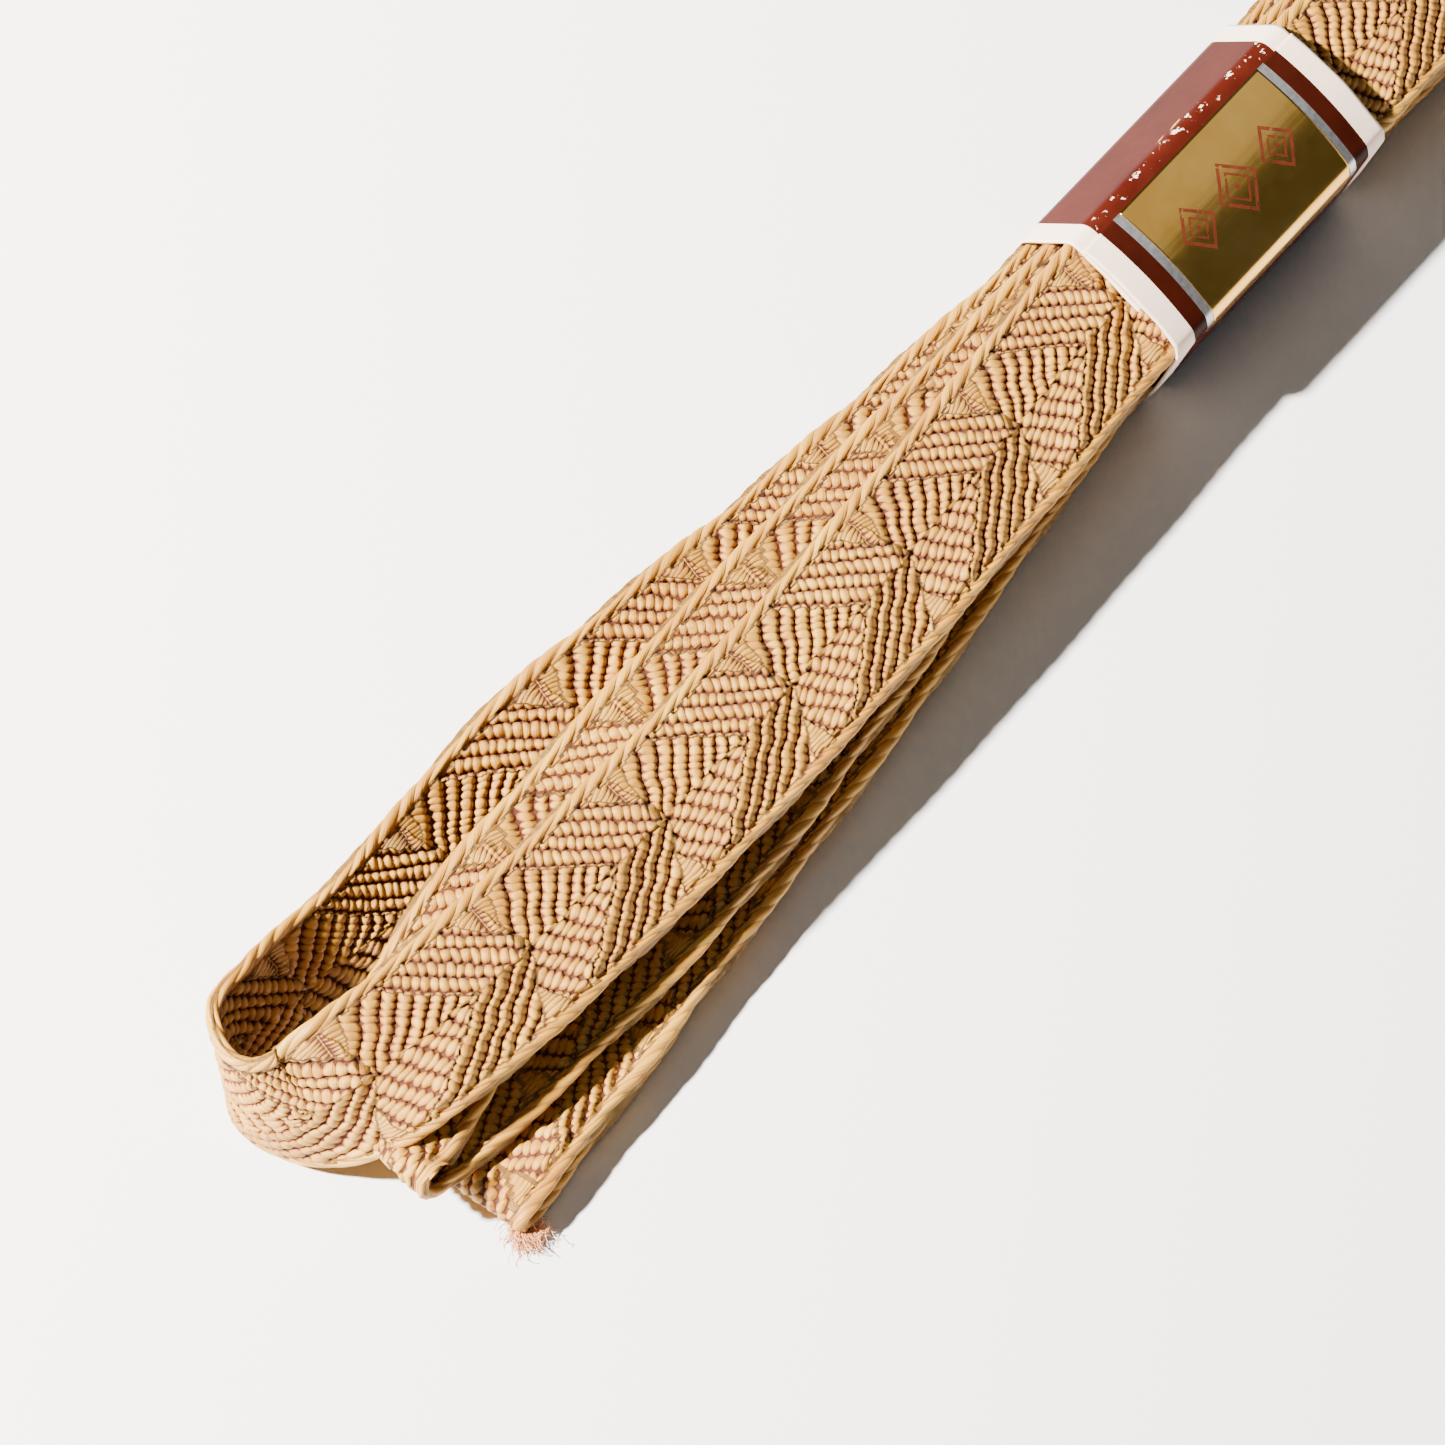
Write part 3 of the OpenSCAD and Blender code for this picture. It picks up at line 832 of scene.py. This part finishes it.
def gold_foil(flap_middle):
    """Gold foil, pressed and polished: a smooth mirror with shallow dents, and a russet
    ornament printed on it."""
    n = Nodes(bpy.data.materials.new("gold_foil"))
    sheet = n.add("SeparateXYZ", n.add("Attribute", attribute_name="sheet").outputs["Vector"])
    x = sheet.outputs["X"]
    y = n.add("Math", sheet.outputs["Y"], flap_middle, operation="SUBTRACT")
    position = n.add("NewGeometry")
    brush = n.add("TexNoise", position, patches_of(1.111), 3, 0.6)
    patches = n.add("TexNoise", position, patches_of(7.692), 3, 0.6)
    gold = n.add("ValToRGB", patches, stops=[(0.3, "#E0A848"), (0.7, "#EEBE64")])
    ink = n.add("ValToRGB", brush, stops=[(0.3, "#461604"), (0.7, "#571F08")])
    specks = n.add("TexNoise", position, patches_of(0.6667), 3, 0.6)
    unworn = n.add("Math", specks, 0.38, operation="GREATER_THAN")
    mark = n.add("Math", diamonds_and_dots(n, x, y), unworn, operation="MULTIPLY")
    wavy_y = n.add("Math", brush, 0.06, y, operation="MULTIPLY_ADD")
    ripples = n.add("TexNoise", wavy_y, 0.5, 2, 0.5)
    dents = n.add("TexNoise", position, patches_of(6.25), 2, 0.5)
    relief = n.add("Math", ripples, 0.2, dents, operation="MULTIPLY_ADD")
    foil_rough = n.add("Math", brush, 0.10, 0.16, operation="MULTIPLY_ADD")
    return n.finish(
        Base_Color=n.add("Mix", mark, gold, ink, data_type="RGBA"),
        Metallic=n.add("Math", 1.0, mark, operation="SUBTRACT"),
        Roughness=n.add("Math", mark, 0.25, foil_rough, operation="MULTIPLY_ADD"),
        Normal=n.add("Bump", Height=relief, Distance=0.16 * MM, Strength=0.6),
    )


def dried_glue():
    """A thin yellowed film of paste, cloudy and a little cracked."""
    n = Nodes(bpy.data.materials.new("dried_glue"))
    cloud = n.add("TexNoise", n.add("NewGeometry"), patches_of(1.667), 4, 0.6)
    return n.finish(
        Base_Color=n.add("ValToRGB", cloud, stops=[(0.3, "#DCCFA6"), (0.7, "#F0E8CC")]),
        Roughness=n.add("Math", cloud, 0.2, 0.3, operation="MULTIPLY_ADD"),
        Normal=n.add("Bump", Height=cloud, Distance=0.08 * MM, Strength=0.6),
    )


PAPER_LINE = np.vstack([WRAP, FLAP])
paper_arc = np.r_[0, np.cumsum(np.linalg.norm(np.diff(PAPER_LINE, axis=0), axis=1))]
flap_from = paper_arc[len(WRAP) - 1] - 1.0
paper = sheet_along(
    "wrapped_paper", PAPER_LINE, 0.0, PAPER, BAND_HALF, 0.06,
    printed_paper(flap_from, paper_arc[3] - 0.3),
)
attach(paper, "band")
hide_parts("band_paper")

fold = WRAP[-1] + 3 * unit(WRAP[-2] - WRAP[-1])
FOIL_LINE = np.vstack([fold, WRAP[-1], FLAP])
foil_arc = np.r_[0, np.cumsum(np.linalg.norm(np.diff(FOIL_LINE, axis=0), axis=1))]
foil = sheet_along(
    "gold_panel", FOIL_LINE, PAPER, FOIL, FOIL_HALF, 0.0,
    gold_foil((foil_arc[2] + foil_arc[-1]) / 2),
)
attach(foil, "band")
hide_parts("foil_panel")

GLUE_LINE = np.array([
    TOP_CREASE + (TUCKED - 1.5) * TOP_FALL + PAPER * FACE_OUT,
    TOP_CREASE + 0.5 * TOP_FALL + PAPER * FACE_OUT,
])
paste = sheet_along("paste_film", GLUE_LINE, 0.0, GLUE, BAND_HALF - 2, 0.25, dried_glue())
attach(paste, "band")
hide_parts("glue_strip")

# ---------------------------------------------------------------- floor and light


def plain_floor():
    """A pale matt table, with painted light: its colour is lighter towards +Y, the lamp's side."""
    half = 1.5
    verts = np.array([(-half, -half, 0), (half, -half, 0), (half, half, 0), (-half, half, 0)])
    n = Nodes(bpy.data.materials.new("white_table"))
    position = n.add("NewGeometry")
    grain = n.add("TexNoise", position, patches_of(1.111), 2, 0.5)
    place = n.add("SeparateXYZ", position)
    # Painted light: the colour grows lighter towards +Y, where the lamp is, as if lit more there.
    across = n.add("Math", place.outputs["Y"], 4.0, 0.5, operation="MULTIPLY_ADD")
    tone = n.add("Math", grain, 0.02, across, operation="MULTIPLY_ADD")
    white = n.add("ValToRGB", tone, stops=[(0.1, "#DFE0E2"), (0.95, "#FEFEFF")])
    material = n.finish(Base_Color=white, Roughness=0.6)
    new_object("floor", verts, np.array([[0, 1, 2, 3]]), material)


def soft_light(name, direction, distance, size, power, tint):
    """An area lamp that shines on the hank from a direction."""
    data = bpy.data.lights.new(name, "AREA")
    data.shape = "DISK"
    data.size = size
    data.energy = power
    data.color = colour(tint)[:3]
    lamp = bpy.data.objects.new(name, data)
    bpy.context.collection.objects.link(lamp)
    d = np.array(direction, float) / np.linalg.norm(direction)
    lamp.location = np.array(AIM) + d * distance
    yaw = math.atan2(d[1], d[0]) + math.pi / 2
    lamp.rotation_euler = (math.acos(d[2]), 0, yaw)


def surroundings():
    """A dim room, with one pale wall high up that the foil mirrors."""
    n = Nodes(bpy.data.worlds.new("studio"), "Background")
    wall = unit(np.array((0.386, -0.08, 0.91)))
    way = n.add("TexCoord").outputs["Generated"]
    toward = n.add("VectorMath", way, wall, operation="DOT_PRODUCT").outputs["Value"]
    room = n.add("ValToRGB", toward, stops=[(0.905, "#4B4F50"), (0.955, "#DDDDD9")])
    bpy.context.scene.world = n.finish(Color=room, Strength=1.0)


plain_floor()
soft_light("window", (-0.55, 0.45, 0.70), 0.95, 0.062, 84, "#FFF8EF")
surroundings()
